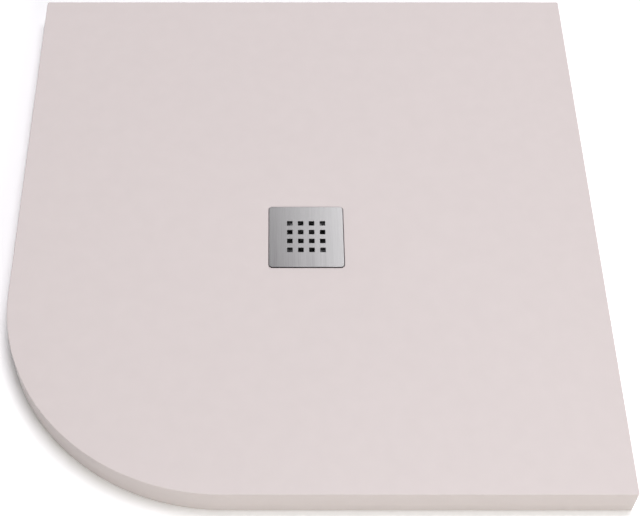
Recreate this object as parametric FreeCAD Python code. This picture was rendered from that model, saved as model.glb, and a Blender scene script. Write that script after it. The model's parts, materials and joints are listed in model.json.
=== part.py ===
"""Low shower tray with one large rounded corner, its drain cover and the compact trap waste inside it.

Frame: millimetres, +Z up. The origin is the middle of the tray's outline on the floor. +X is the
tray's right-hand side and +Y its back. The large rounded corner is at the front left (-X, -Y).
Everything in the waste is turned about one vertical line, the drain axis.
"""
import FreeCAD, Part
import math
import os

V = FreeCAD.Vector
UP = V(0, 0, 1)
OVERSHOOT = 1.0               # how far a cutting shape runs past the faces that it cuts

# ---- Tray slab ------------------------------------------------------------------------------
TRAY_WIDTH = 900.0
TRAY_DEPTH = 950.0
TRAY_HEIGHT = 50.0
ROUND_CORNER_RADIUS = 330.0
SQUARE_CORNER_RADIUS = 3.0
TOP_EDGE_ROUND = 1.5
BOTTOM_EDGE_BEVEL = 1.0
RIM_WIDTH = 35.0              # flat rim all round, where a screen stands
FALL = 5.0                    # how far the showering surface drops from the rim to the drain
DRAIN_AHEAD_OF_MIDDLE = 35.0  # drain axis, towards the front

# ---- Drain cover and the recess it lies in -----------------------------------------------------
COVER_OVERHANG = 1.5          # cover past the clamping flange on every side
COVER_THICKNESS = 2.0
COVER_CORNER_RADIUS = 5.0
COVER_EDGE_BEVEL = 0.4
COVER_PROUD = 1.0             # cover's top above the landing
COVER_GAP = 1.0               # clearance from the cover to the recess wall
COVER_HOLE_SIDE = 8.0
COVER_HOLE_PITCH = 17.0
COVER_HOLES_ACROSS = 4
RECESS_DEPTH = 9.0
RECESS_EDGE_BEVEL = 0.8
LANDING_MARGIN = 26.5         # flat landing between the recess and the foot of the fall, at the sides
FOOT_SIDE = 12.0
FOOT_INSET = 8.5              # foot's middle in from the cover's edges
STUD_SIDE = 4.0
STUD_LENGTH = 5.0
STUD_END_CLEARANCE = 0.3

# ---- Hole and pocket for the waste ---------------------------------------------------------------
WEB_THICKNESS = 16.0          # resin left between the recess and the pocket
WEB_HOLE_DIAMETER = 90.0
CLAMP_LAND_WIDTH = 11.0       # width that the flange and the collar bear on, round the hole
POCKET_CLEARANCE = 6.0        # collar to pocket wall
POCKET_EDGE_BEVEL = 1.5

# ---- Waste body and the outlet moulding bonded into its floor ------------------------------------
FLOOR_CLEARANCE = 1.0         # waste's lowest point above the floor
CUP_CLEARANCE = 1.0           # cup to web hole
CUP_WALL = 2.5
CUP_FLOOR = 3.0
CUP_BASE_BEVEL = 2.0
COLLAR_THICKNESS = 3.5
GUSSET_COUNT = 8
GUSSET_THICKNESS = 2.0
GUSSET_STOP = 2.5             # gusset's lower end above the cup's bevel
GUSSET_INSET = 2.0            # gusset's outer end in from the collar's edge
PIPE_DIAMETER = 40.0          # floor pipe that stands up into the socket
SOCKET_CLEARANCE = 0.3
SOCKET_DEPTH = 16.0
SOCKET_WALL = 2.2
STANDPIPE_BORE = 34.0
STANDPIPE_TOP_WALL = 2.0
TRAP_HEAD_ROOM = 4.0          # way for the water between the standpipe and the bell's crown
SHOULDER_HEIGHT = 2.0
BOND_FLANGE_WIDTH = 3.0       # outlet's flange, bonded down on the cup's floor
BOND_FLANGE_THICKNESS = 1.5

# ---- Seal in the socket's mouth ------------------------------------------------------------------
SEAL_RADIAL_THICKNESS = 3.5
SEAL_HEIGHT = 5.0
SEAL_WAIST = 1.2              # depth of the V groove round the seal's back
RETAINER_HEIGHT = 2.0
SEAL_SEAT_WALL = 2.0

# ---- Clamping flange, gaskets, screws and inserts ------------------------------------------------
GASKET_THICKNESS = 2.0
GASKET_HOLE_CLEARANCE = 0.5
FLANGE_THICKNESS = 3.0
FLANGE_SKIRT_WALL = 2.0
FLANGE_SKIRT_DEPTH = 4.0
CLAMP_GAP = 1.5               # flange to the cup's rim, taken up as the gaskets squeeze
BOSS_SETBACK = 0.2            # boss in from the cup's outside
BOSS_DIAMETER = 8.6
BOSS_LENGTH = 11.5
BOSS_COUNT = 4
SCREW_DIAMETER = 4.0
SCREW_HEAD_DIAMETER = 8.0
SCREW_HEAD_HEIGHT = 2.4
SCREW_HEAD_LAND = 1.0         # level steel left round a screw head
SCREW_LENGTH = 14.0
SCREW_HOLE_CLEARANCE = 0.2
SCREW_TIP_CLEARANCE = 1.0
INSERT_ACROSS_FLATS = 5.2
INSERT_LENGTH = 8.0

# ---- Strainer basket and trap bell ---------------------------------------------------------------
BASKET_FIT = 0.5              # basket to the flange's skirt
BASKET_RIM_WIDTH = 2.2
BASKET_RIM_THICKNESS = 1.5
BASKET_RIM_FIT = 0.3
BASKET_SEAT_DEPTH = 1.2
BASKET_DEPTH = 5.8
BASKET_WALL = 1.5
BASKET_DRAFT = 1.0            # how far the basket narrows to its floor
BASKET_HUB_RADIUS = 8.5       # solid middle of the basket's floor
BASKET_SLOT_WIDTH = 2.6
BASKET_SLOT_BRIDGE = 3.0      # solid ring between the two rows of slots
INNER_SLOT_LENGTH = 7.0
INNER_SLOT_COUNT = 12
OUTER_SLOT_COUNT = 24
BASKET_GRIP_DIAMETER = 7.0
BASKET_GRIP_HEIGHT = 5.0
BASKET_GRIP_BEVEL = 0.8
BELL_INSIDE_BASKET = 1.0      # bell's radius less than the basket's, so that it lifts out through the flange
BELL_WALL = 1.8
BELL_MOUTH_GAP = 5.0          # bell's mouth above the cup's floor
BELL_CROWN_DROP = 4.0         # sloping shoulder of the bell: how far it falls
BELL_CROWN_SET_IN = 7.0       # and how far it draws in
BELL_TO_BASKET = 0.7
BELL_GRIP_LENGTH = 22.0
BELL_GRIP_WIDTH = 3.0
BELL_GRIP_HEIGHT = 1.2
BELL_FIN_COUNT = 3
BELL_FIN_THICKNESS = 1.6
BELL_FIN_OVERLAP = 3.0        # how far a fin reaches in past the standpipe's bore
BELL_FIN_SKIRT = 6.0          # how far a fin hangs down outside the standpipe
BELL_FIN_FIT = 0.5

# ---- Levels and radii that follow from the sizes above -------------------------------------------
DRAIN_Y = -DRAIN_AHEAD_OF_MIDDLE
LANDING_Z = TRAY_HEIGHT - FALL
RECESS_FLOOR_Z = LANDING_Z - RECESS_DEPTH
WEB_BOTTOM_Z = RECESS_FLOOR_Z - WEB_THICKNESS
COVER_TOP_Z = LANDING_Z + COVER_PROUD
COVER_BOTTOM_Z = COVER_TOP_Z - COVER_THICKNESS
FLANGE_BOTTOM_Z = RECESS_FLOOR_Z + GASKET_THICKNESS
FLANGE_TOP_Z = FLANGE_BOTTOM_Z + FLANGE_THICKNESS
CUP_RIM_Z = FLANGE_BOTTOM_Z - CLAMP_GAP
COLLAR_TOP_Z = WEB_BOTTOM_Z - GASKET_THICKNESS
COLLAR_BOTTOM_Z = COLLAR_TOP_Z - COLLAR_THICKNESS
CUP_BASE_Z = FLOOR_CLEARANCE
CUP_FLOOR_Z = CUP_BASE_Z + CUP_FLOOR
SOCKET_TOP_Z = CUP_BASE_Z + SOCKET_DEPTH
BASKET_SEAT_Z = FLANGE_TOP_Z - BASKET_SEAT_DEPTH
BASKET_BOTTOM_Z = BASKET_SEAT_Z + BASKET_RIM_THICKNESS - BASKET_DEPTH
BELL_GRIP_TOP_Z = BASKET_BOTTOM_Z - BELL_TO_BASKET
BELL_TOP_Z = BELL_GRIP_TOP_Z - BELL_GRIP_HEIGHT
BELL_CEILING_Z = BELL_TOP_Z - BELL_WALL
STANDPIPE_TOP_Z = BELL_CEILING_Z - TRAP_HEAD_ROOM
BELL_MOUTH_Z = CUP_FLOOR_Z + BELL_MOUTH_GAP

WEB_HOLE_RADIUS = WEB_HOLE_DIAMETER / 2
CLAMP_RADIUS = WEB_HOLE_RADIUS + CLAMP_LAND_WIDTH
POCKET_DIAMETER = 2 * (CLAMP_RADIUS + POCKET_CLEARANCE)
COVER_SIDE = 2 * (CLAMP_RADIUS + COVER_OVERHANG)
LANDING_HALF_WIDTH = COVER_SIDE / 2 + COVER_GAP + LANDING_MARGIN
CUP_OUTER_RADIUS = WEB_HOLE_RADIUS - CUP_CLEARANCE
CUP_INNER_RADIUS = CUP_OUTER_RADIUS - CUP_WALL
BOSS_CIRCLE_RADIUS = CUP_OUTER_RADIUS - BOSS_SETBACK - BOSS_DIAMETER / 2
BASKET_SEAT_RADIUS = BOSS_CIRCLE_RADIUS - SCREW_HEAD_DIAMETER / 2 - SCREW_HEAD_LAND
SOCKET_RADIUS = PIPE_DIAMETER / 2 + SOCKET_CLEARANCE
SEAL_SEAT_RADIUS = SOCKET_RADIUS + SEAL_RADIAL_THICKNESS
OUTLET_RADIUS = SEAL_SEAT_RADIUS + SEAL_SEAT_WALL
STANDPIPE_RADIUS = STANDPIPE_BORE / 2 + STANDPIPE_TOP_WALL
BASKET_RIM_RADIUS = BASKET_SEAT_RADIUS - BASKET_RIM_FIT
BASKET_RADIUS = BASKET_RIM_RADIUS - BASKET_RIM_WIDTH
FLANGE_BORE_RADIUS = BASKET_RADIUS + BASKET_FIT
BELL_RADIUS = BASKET_RADIUS - BELL_INSIDE_BASKET
BELL_INNER_RADIUS = BELL_RADIUS - BELL_WALL


def polygon(points):
    """Closed straight-sided wire through the points."""
    return Part.makePolygon(points + [points[0]])


def turned(profile):
    """Solid turned about the drain axis from a closed outline of (radius, height) points."""
    face = Part.Face(polygon([V(radius, DRAIN_Y, height) for radius, height in profile]))
    return face.revolve(V(0, DRAIN_Y, 0), UP, 360)


def drum(diameter, bottom, top, x=0.0, y=DRAIN_Y):
    """Upright cylinder between two levels."""
    return Part.makeCylinder(diameter / 2, top - bottom, V(x, y, bottom), UP)


def square_bar(side, bottom, top, x, y):
    """Upright square bar between two levels."""
    return Part.makeBox(side, side, top - bottom, V(x - side / 2, y - side / 2, bottom))


def hexagonal_bar(across_flats, bottom, top, x, y=DRAIN_Y):
    """Upright hexagonal bar between two levels, with two of its corners along X."""
    reach = across_flats / math.sqrt(3)
    corners = [V(x + reach * math.cos(turn), y + reach * math.sin(turn), bottom)
               for turn in (math.radians(60 * step) for step in range(6))]
    return Part.Face(polygon(corners)).extrude(V(0, 0, top - bottom))


def ring(inner_radius, outer_radius, bottom, top):
    """Flat ring round the drain axis."""
    hole = drum(2 * inner_radius, bottom - OVERSHOOT, top + OVERSHOOT)
    return drum(2 * outer_radius, bottom, top).cut(hole)


def about_axis(shape, count, start=0.0):
    """Copies of a shape, evenly spaced round the drain axis."""
    copies = []
    for index in range(count):
        copy = shape.copy()
        copy.rotate(V(0, DRAIN_Y, 0), UP, start + index * 360.0 / count)
        copies.append(copy)
    return copies


def edges_at(shape, level, reach=1e-3):
    """Edges of a shape that lie flat at one level."""
    return [edge for edge in shape.Edges
            if abs(edge.BoundBox.ZMin - level) < reach and abs(edge.BoundBox.ZMax - level) < reach]


def rounded_square(side, corner_radius, bottom, top):
    """Square block with rounded upright corners, centred on the drain axis."""
    block = Part.makeBox(side, side, top - bottom, V(-side / 2, DRAIN_Y - side / 2, bottom))
    upright = [edge for edge in block.Edges if edge.BoundBox.ZLength > 0.5 * (top - bottom)]
    return block.makeFillet(corner_radius, upright)


def tray_outline():
    """The tray's outline on the floor: four straight sides and the large front-left corner."""
    left, right = -TRAY_WIDTH / 2, TRAY_WIDTH / 2
    front, back = -TRAY_DEPTH / 2, TRAY_DEPTH / 2
    arc_middle = ROUND_CORNER_RADIUS * (1 - math.sqrt(0.5))
    on_front = V(left + ROUND_CORNER_RADIUS, front, 0)
    on_left = V(left, front + ROUND_CORNER_RADIUS, 0)
    return Part.Wire([
        Part.LineSegment(on_front, V(right, front, 0)).toShape(),
        Part.LineSegment(V(right, front, 0), V(right, back, 0)).toShape(),
        Part.LineSegment(V(right, back, 0), V(left, back, 0)).toShape(),
        Part.LineSegment(V(left, back, 0), on_left).toShape(),
        Part.Arc(on_left, V(left + arc_middle, front + arc_middle, 0), on_front).toShape(),
    ])


def falling_basin():
    """Space over the showering surface: four falls from the level rim down to the flat landing.

    The left, right and front falls have one slope. The round corner's fall is an upright cone
    of that slope, so it runs smoothly into the left and front ones.
    """
    side = TRAY_WIDTH / 2 - RIM_WIDTH
    end = TRAY_DEPTH / 2 - RIM_WIDTH
    run = side - LANDING_HALF_WIDTH
    landing_half_depth = end - run - DRAIN_AHEAD_OF_MIDDLE
    basin = Part.makeWedge(-LANDING_HALF_WIDTH, LANDING_Z, -landing_half_depth - DRAIN_Y, -end, -side,
                           LANDING_HALF_WIDTH, TRAY_HEIGHT, landing_half_depth - DRAIN_Y, end, side)
    basin.rotate(V(0, 0, 0), V(1, 0, 0), 90)
    cone_radius = ROUND_CORNER_RADIUS - RIM_WIDTH
    cone_height = FALL * cone_radius / run
    apex = V(-side + cone_radius, -end + cone_radius, TRAY_HEIGHT - cone_height)
    corner = Part.makeBox(cone_radius, cone_radius, FALL, V(-side, -end, LANDING_Z))
    cone = Part.makeCone(0, cone_radius, cone_height, apex, UP, 90)
    cone.rotate(apex, UP, 180)
    return basin.cut(corner).fuse(cone.common(corner)).removeSplitter()


def tray_slab():
    """Cast resin slab with its rim, fall, cover recess, waste hole and pocket underneath."""
    slab = Part.Face(tray_outline()).extrude(V(0, 0, TRAY_HEIGHT))
    corners = [edge for edge in slab.Edges if edge.BoundBox.ZLength > 0.5 * TRAY_HEIGHT]
    square_corners = [edge for edge in corners
                      if abs(edge.CenterOfMass.x) > TRAY_WIDTH / 2 - 1e-3
                      and abs(edge.CenterOfMass.y) > TRAY_DEPTH / 2 - 1e-3]
    slab = slab.makeFillet(SQUARE_CORNER_RADIUS, square_corners)
    slab = slab.makeFillet(TOP_EDGE_ROUND, edges_at(slab, TRAY_HEIGHT))
    slab = slab.makeChamfer(BOTTOM_EDGE_BEVEL, edges_at(slab, 0.0))
    slab = slab.cut(falling_basin())
    recess = rounded_square(COVER_SIDE + 2 * COVER_GAP, COVER_CORNER_RADIUS + COVER_GAP,
                            RECESS_FLOOR_Z, LANDING_Z + FALL)
    slab = slab.cut(recess)
    slab = slab.makeChamfer(RECESS_EDGE_BEVEL, recess_mouth_edges(slab))
    slab = slab.cut(drum(WEB_HOLE_DIAMETER, WEB_BOTTOM_Z - OVERSHOOT, RECESS_FLOOR_Z + OVERSHOOT))
    slab = slab.cut(drum(POCKET_DIAMETER, -OVERSHOOT, WEB_BOTTOM_Z))
    pocket_mouth = [edge for edge in edges_at(slab, 0.0)
                    if abs(edge.BoundBox.XLength - POCKET_DIAMETER) < OVERSHOOT]
    return slab.makeChamfer(POCKET_EDGE_BEVEL, pocket_mouth)


def recess_mouth_edges(slab):
    """Edges where the landing turns down into the recess."""
    reach = COVER_SIDE / 2 + COVER_GAP + 1e-3
    return [edge for edge in edges_at(slab, LANDING_Z)
            if abs(edge.CenterOfMass.x) < reach and abs(edge.CenterOfMass.y - DRAIN_Y) < reach
            and edge.BoundBox.XLength < 2 * reach and edge.BoundBox.YLength < 2 * reach]


def foot_places():
    """Name and place of each foot, in from the cover's four corners."""
    offset = COVER_SIDE / 2 - FOOT_INSET
    return [("front_left", -offset, DRAIN_Y - offset), ("front_right", offset, DRAIN_Y - offset),
            ("back_left", -offset, DRAIN_Y + offset), ("back_right", offset, DRAIN_Y + offset)]


def drain_cover():
    """Square steel plate with rounded corners and its grid of square holes."""
    plate = rounded_square(COVER_SIDE, COVER_CORNER_RADIUS, COVER_BOTTOM_Z, COVER_TOP_Z)
    plate = plate.makeChamfer(COVER_EDGE_BEVEL, edges_at(plate, COVER_TOP_Z))
    first = -COVER_HOLE_PITCH * (COVER_HOLES_ACROSS - 1) / 2 - COVER_HOLE_SIDE / 2
    holes = []
    for column in range(COVER_HOLES_ACROSS):
        for row in range(COVER_HOLES_ACROSS):
            corner = V(first + column * COVER_HOLE_PITCH, DRAIN_Y + first + row * COVER_HOLE_PITCH,
                       COVER_BOTTOM_Z - OVERSHOOT)
            height = COVER_THICKNESS + 2 * OVERSHOOT
            holes.append(Part.makeBox(COVER_HOLE_SIDE, COVER_HOLE_SIDE, height, corner))
    return plate.cut(holes)


def cover_studs():
    """Square steel studs welded under the cover, one over each foot."""
    return Part.makeCompound([square_bar(STUD_SIDE, COVER_BOTTOM_Z - STUD_LENGTH, COVER_BOTTOM_Z, x, y)
                              for _, x, y in foot_places()])


def cover_foot(x, y):
    """Square rubber foot pushed on a stud, standing on the recess floor."""
    foot = square_bar(FOOT_SIDE, RECESS_FLOOR_Z, COVER_BOTTOM_Z, x, y)
    socket_depth = STUD_LENGTH + STUD_END_CLEARANCE
    return foot.cut(square_bar(STUD_SIDE, COVER_BOTTOM_Z - socket_depth, COVER_BOTTOM_Z + OVERSHOOT, x, y))


def clamp_flange():
    """Steel ring that clamps the tray's web from above, with the basket's seat and a drip skirt."""
    skirt_outer = FLANGE_BORE_RADIUS + FLANGE_SKIRT_WALL
    flange = turned([
        (FLANGE_BORE_RADIUS, FLANGE_BOTTOM_Z - FLANGE_SKIRT_DEPTH),
        (skirt_outer, FLANGE_BOTTOM_Z - FLANGE_SKIRT_DEPTH),
        (skirt_outer, FLANGE_BOTTOM_Z),
        (CLAMP_RADIUS, FLANGE_BOTTOM_Z),
        (CLAMP_RADIUS, FLANGE_TOP_Z),
        (BASKET_SEAT_RADIUS, FLANGE_TOP_Z),
        (BASKET_SEAT_RADIUS, BASKET_SEAT_Z),
        (FLANGE_BORE_RADIUS, BASKET_SEAT_Z),
    ])
    hole = drum(SCREW_DIAMETER + 2 * SCREW_HOLE_CLEARANCE, FLANGE_BOTTOM_Z - OVERSHOOT,
                FLANGE_TOP_Z + OVERSHOOT, BOSS_CIRCLE_RADIUS)
    return flange.cut(about_axis(hole, BOSS_COUNT, 45))


def flange_screws():
    """Cheese-head screws down through the flange into the waste body's bosses."""
    shank = drum(SCREW_DIAMETER, FLANGE_TOP_Z - SCREW_LENGTH, FLANGE_TOP_Z, BOSS_CIRCLE_RADIUS)
    head = drum(SCREW_HEAD_DIAMETER, FLANGE_TOP_Z, FLANGE_TOP_Z + SCREW_HEAD_HEIGHT, BOSS_CIRCLE_RADIUS)
    return Part.makeCompound(about_axis(shank.fuse(head), BOSS_COUNT, 45))


def screw_inserts():
    """Hexagonal brass threaded bushes moulded into the waste body's bosses."""
    bottom = CUP_RIM_Z - INSERT_LENGTH
    insert = hexagonal_bar(INSERT_ACROSS_FLATS, bottom, CUP_RIM_Z, BOSS_CIRCLE_RADIUS)
    thread = drum(SCREW_DIAMETER, bottom - OVERSHOOT, CUP_RIM_Z + OVERSHOOT, BOSS_CIRCLE_RADIUS)
    return Part.makeCompound(about_axis(insert.cut(thread), BOSS_COUNT, 45))


def flange_gasket():
    """Rubber ring between the flange and the recess floor."""
    return ring(WEB_HOLE_RADIUS + GASKET_HOLE_CLEARANCE, CLAMP_RADIUS, RECESS_FLOOR_Z, FLANGE_BOTTOM_Z)


def collar_gasket():
    """Rubber ring between the web's underside and the waste body's collar."""
    return ring(CUP_OUTER_RADIUS + GASKET_HOLE_CLEARANCE, CLAMP_RADIUS, COLLAR_TOP_Z, WEB_BOTTOM_Z)


def waste_body():
    """Moulded cup with its clamping collar and screw bosses, open at the floor for the outlet."""
    body = turned([
        (OUTLET_RADIUS, CUP_BASE_Z),
        (CUP_OUTER_RADIUS - CUP_BASE_BEVEL, CUP_BASE_Z),
        (CUP_OUTER_RADIUS, CUP_BASE_Z + CUP_BASE_BEVEL),
        (CUP_OUTER_RADIUS, COLLAR_BOTTOM_Z),
        (CLAMP_RADIUS, COLLAR_BOTTOM_Z),
        (CLAMP_RADIUS, COLLAR_TOP_Z),
        (CUP_OUTER_RADIUS, COLLAR_TOP_Z),
        (CUP_OUTER_RADIUS, CUP_RIM_Z),
        (CUP_INNER_RADIUS, CUP_RIM_Z),
        (CUP_INNER_RADIUS, CUP_FLOOR_Z),
        (OUTLET_RADIUS, CUP_FLOOR_Z),
    ])
    boss = drum(BOSS_DIAMETER, CUP_RIM_Z - BOSS_LENGTH, CUP_RIM_Z, BOSS_CIRCLE_RADIUS)
    bosses = about_axis(boss, BOSS_COUNT, 45)
    gussets = about_axis(gusset(), GUSSET_COUNT, 180.0 / GUSSET_COUNT)
    insert_hole = hexagonal_bar(INSERT_ACROSS_FLATS, CUP_RIM_Z - INSERT_LENGTH, CUP_RIM_Z + OVERSHOOT,
                                BOSS_CIRCLE_RADIUS)
    tip_bottom = FLANGE_TOP_Z - SCREW_LENGTH - SCREW_TIP_CLEARANCE
    tip_hole = drum(SCREW_DIAMETER + 2 * SCREW_HOLE_CLEARANCE, tip_bottom, CUP_RIM_Z, BOSS_CIRCLE_RADIUS)
    body = body.fuse(bosses + gussets).cut(about_axis(insert_hole.fuse(tip_hole), BOSS_COUNT, 45))
    return body.removeSplitter()


def gusset():
    """Triangular stiffener between the cup's wall and the collar's underside."""
    root = CUP_OUTER_RADIUS - CUP_WALL / 2
    tip = CLAMP_RADIUS - GUSSET_INSET
    side = DRAIN_Y - GUSSET_THICKNESS / 2
    lower_end = CUP_BASE_Z + CUP_BASE_BEVEL + GUSSET_STOP
    profile = polygon([V(root, side, COLLAR_BOTTOM_Z), V(tip, side, COLLAR_BOTTOM_Z),
                       V(root, side, lower_end)])
    return Part.Face(profile).extrude(V(0, GUSSET_THICKNESS, 0))


def outlet_standpipe():
    """Moulded outlet bonded into the cup's floor: pipe socket below, standpipe above.

    The standpipe's rim sets the level of the water that stands in the cup.
    """
    seat_top = CUP_BASE_Z + RETAINER_HEIGHT + SEAL_HEIGHT
    socket_outer = SOCKET_RADIUS + SOCKET_WALL
    bore = STANDPIPE_BORE / 2
    return turned([
        (SEAL_SEAT_RADIUS, CUP_BASE_Z),
        (OUTLET_RADIUS, CUP_BASE_Z),
        (OUTLET_RADIUS, CUP_FLOOR_Z),
        (OUTLET_RADIUS + BOND_FLANGE_WIDTH, CUP_FLOOR_Z),
        (OUTLET_RADIUS + BOND_FLANGE_WIDTH, CUP_FLOOR_Z + BOND_FLANGE_THICKNESS),
        (OUTLET_RADIUS, CUP_FLOOR_Z + BOND_FLANGE_THICKNESS),
        (OUTLET_RADIUS, seat_top + SHOULDER_HEIGHT),
        (socket_outer, seat_top + SHOULDER_HEIGHT),
        (socket_outer, SOCKET_TOP_Z),
        (STANDPIPE_RADIUS, SOCKET_TOP_Z + SHOULDER_HEIGHT),
        (STANDPIPE_RADIUS, STANDPIPE_TOP_Z),
        (bore, STANDPIPE_TOP_Z),
        (bore, SOCKET_TOP_Z),
        (SOCKET_RADIUS, SOCKET_TOP_Z),
        (SOCKET_RADIUS, seat_top),
        (SEAL_SEAT_RADIUS, seat_top),
    ])


def outlet_seal():
    """Rubber seal in the socket's mouth, waisted at the back so that its lips can give."""
    bottom = CUP_BASE_Z + RETAINER_HEIGHT
    return turned([
        (SOCKET_RADIUS, bottom),
        (SEAL_SEAT_RADIUS, bottom),
        (SEAL_SEAT_RADIUS - SEAL_WAIST, bottom + SEAL_HEIGHT / 2),
        (SEAL_SEAT_RADIUS, bottom + SEAL_HEIGHT),
        (SOCKET_RADIUS, bottom + SEAL_HEIGHT),
    ])


def seal_retainer():
    """Plastic ring pressed into the socket's mouth under the seal."""
    return ring(SOCKET_RADIUS, SEAL_SEAT_RADIUS, CUP_BASE_Z, CUP_BASE_Z + RETAINER_HEIGHT)


def strainer_basket():
    """Moulded hair catcher: rim, tapered wall, slotted floor and a finger grip."""
    floor_radius = BASKET_RADIUS - BASKET_DRAFT
    rim_top = BASKET_SEAT_Z + BASKET_RIM_THICKNESS
    basket = turned([
        (0, BASKET_BOTTOM_Z),
        (floor_radius, BASKET_BOTTOM_Z),
        (BASKET_RADIUS, BASKET_SEAT_Z),
        (BASKET_RIM_RADIUS, BASKET_SEAT_Z),
        (BASKET_RIM_RADIUS, rim_top),
        (BASKET_RADIUS - BASKET_WALL, rim_top),
        (floor_radius - BASKET_WALL, BASKET_BOTTOM_Z + BASKET_WALL),
        (0, BASKET_BOTTOM_Z + BASKET_WALL),
    ])
    inner_row_end = BASKET_HUB_RADIUS + INNER_SLOT_LENGTH
    rows = [
        (BASKET_HUB_RADIUS, inner_row_end, INNER_SLOT_COUNT),
        (inner_row_end + BASKET_SLOT_BRIDGE, floor_radius - 2 * BASKET_WALL, OUTER_SLOT_COUNT),
    ]
    slots = []
    for inner, outer, count in rows:
        corner = V(inner, DRAIN_Y - BASKET_SLOT_WIDTH / 2, BASKET_BOTTOM_Z - OVERSHOOT)
        slot = Part.makeBox(outer - inner, BASKET_SLOT_WIDTH, BASKET_WALL + 2 * OVERSHOOT, corner)
        slots += about_axis(slot, count)
    grip_top = BASKET_BOTTOM_Z + BASKET_WALL + BASKET_GRIP_HEIGHT
    grip = drum(BASKET_GRIP_DIAMETER, BASKET_BOTTOM_Z, grip_top)
    grip = grip.makeChamfer(BASKET_GRIP_BEVEL, edges_at(grip, grip_top))
    return basket.cut(slots).fuse(grip).removeSplitter()


def trap_bell():
    """Bell over the standpipe: its mouth stands in the cup's water and shuts out air from the drain."""
    bell = turned([
        (BELL_INNER_RADIUS, BELL_MOUTH_Z),
        (BELL_RADIUS, BELL_MOUTH_Z),
        (BELL_RADIUS, BELL_TOP_Z - BELL_CROWN_DROP),
        (BELL_RADIUS - BELL_CROWN_SET_IN, BELL_TOP_Z),
        (0, BELL_TOP_Z),
        (0, BELL_CEILING_Z),
        (BELL_INNER_RADIUS - BELL_CROWN_SET_IN, BELL_CEILING_Z),
        (BELL_INNER_RADIUS, BELL_CEILING_Z - BELL_CROWN_DROP),
    ])
    grip = Part.makeBox(BELL_GRIP_LENGTH, BELL_GRIP_WIDTH, BELL_GRIP_HEIGHT + BELL_WALL / 2,
                        V(-BELL_GRIP_LENGTH / 2, DRAIN_Y - BELL_GRIP_WIDTH / 2, BELL_TOP_Z - BELL_WALL / 2))
    return bell.fuse([grip] + about_axis(bell_fin(), BELL_FIN_COUNT, 90)).removeSplitter()


def bell_fin():
    """Fin inside the bell: it rests on the standpipe's rim and centres the bell round it."""
    inner_end = STANDPIPE_BORE / 2 - BELL_FIN_OVERLAP
    wall = BELL_RADIUS - BELL_WALL / 2
    crown = BELL_CEILING_Z + BELL_WALL / 2
    side = DRAIN_Y - BELL_FIN_THICKNESS / 2
    profile = polygon([
        V(inner_end, side, STANDPIPE_TOP_Z),
        V(STANDPIPE_RADIUS + BELL_FIN_FIT, side, STANDPIPE_TOP_Z),
        V(STANDPIPE_RADIUS + BELL_FIN_FIT, side, STANDPIPE_TOP_Z - BELL_FIN_SKIRT),
        V(wall, side, STANDPIPE_TOP_Z - BELL_FIN_SKIRT),
        V(wall, side, crown - BELL_CROWN_DROP),
        V(wall - BELL_CROWN_SET_IN, side, crown),
        V(inner_end, side, crown),
    ])
    return Part.Face(profile).extrude(V(0, BELL_FIN_THICKNESS, 0))


def all_pieces():
    """Every piece of the tray by its name."""
    pieces = {
        "tray_slab": tray_slab(),
        "drain_cover": drain_cover(),
        "cover_studs": cover_studs(),
        "strainer_basket": strainer_basket(),
        "trap_bell": trap_bell(),
        "clamp_flange": clamp_flange(),
        "flange_gasket": flange_gasket(),
        "flange_screws": flange_screws(),
        "screw_inserts": screw_inserts(),
        "collar_gasket": collar_gasket(),
        "waste_body": waste_body(),
        "outlet_standpipe": outlet_standpipe(),
        "outlet_seal": outlet_seal(),
        "seal_retainer": seal_retainer(),
    }
    for corner, x, y in foot_places():
        pieces["cover_foot_" + corner] = cover_foot(x, y)
    return pieces


os.makedirs("parts", exist_ok=True)
for node, shape in all_pieces().items():
    shape.exportStep("parts/" + node + ".step")
    state = "valid" if shape.isValid() else "BAD"
    print(node, len(shape.Solids), "solids", round(shape.Volume / 1000, 2), "cm3", state)
print("water seal", round(STANDPIPE_TOP_Z - BELL_MOUTH_Z, 1), "mm; pocket depth", WEB_BOTTOM_Z, "mm")
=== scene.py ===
"""Looks of the low shower tray: finishes, finer pieces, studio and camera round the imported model.

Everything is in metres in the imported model's frame: the origin is the middle of the tray's
outline on the floor, +X the tray's right, +Y its back, +Z up. The waste is turned about one
upright line, the drain axis.
"""

import json
import logging
import math
from collections.abc import Callable
from dataclasses import dataclass
from enum import Enum

import bpy
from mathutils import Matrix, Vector


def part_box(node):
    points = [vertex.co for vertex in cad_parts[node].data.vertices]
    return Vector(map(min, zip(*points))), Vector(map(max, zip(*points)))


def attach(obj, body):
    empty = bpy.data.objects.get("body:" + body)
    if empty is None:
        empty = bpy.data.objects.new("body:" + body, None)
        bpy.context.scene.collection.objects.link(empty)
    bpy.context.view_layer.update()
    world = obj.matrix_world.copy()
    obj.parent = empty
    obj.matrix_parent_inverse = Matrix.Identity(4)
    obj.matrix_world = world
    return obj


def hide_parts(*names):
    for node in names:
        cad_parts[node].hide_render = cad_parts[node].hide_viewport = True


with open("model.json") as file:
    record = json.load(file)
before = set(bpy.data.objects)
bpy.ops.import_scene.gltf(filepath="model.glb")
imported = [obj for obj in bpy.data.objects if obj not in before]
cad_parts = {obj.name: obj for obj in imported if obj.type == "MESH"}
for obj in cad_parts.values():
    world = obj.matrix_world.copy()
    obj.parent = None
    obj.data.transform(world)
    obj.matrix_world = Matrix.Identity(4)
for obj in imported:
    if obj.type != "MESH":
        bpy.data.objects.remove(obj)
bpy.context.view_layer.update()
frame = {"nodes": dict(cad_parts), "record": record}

log = logging.getLogger("shower_tray")
Colour = tuple[float, float, float]     # in linear light
Pair = tuple[float, float]
Piece = bpy.types.Object
Socket = bpy.types.NodeSocket
Material = bpy.types.Material
MILLIMETRE = 0.001
MERGE_DISTANCE = 0.001 * MILLIMETRE
NEAR = 0.01                   # millimetres within which a point counts as at its place
OVERSHOOT = 1.0               # millimetres that a cutter runs past what it cuts
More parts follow.
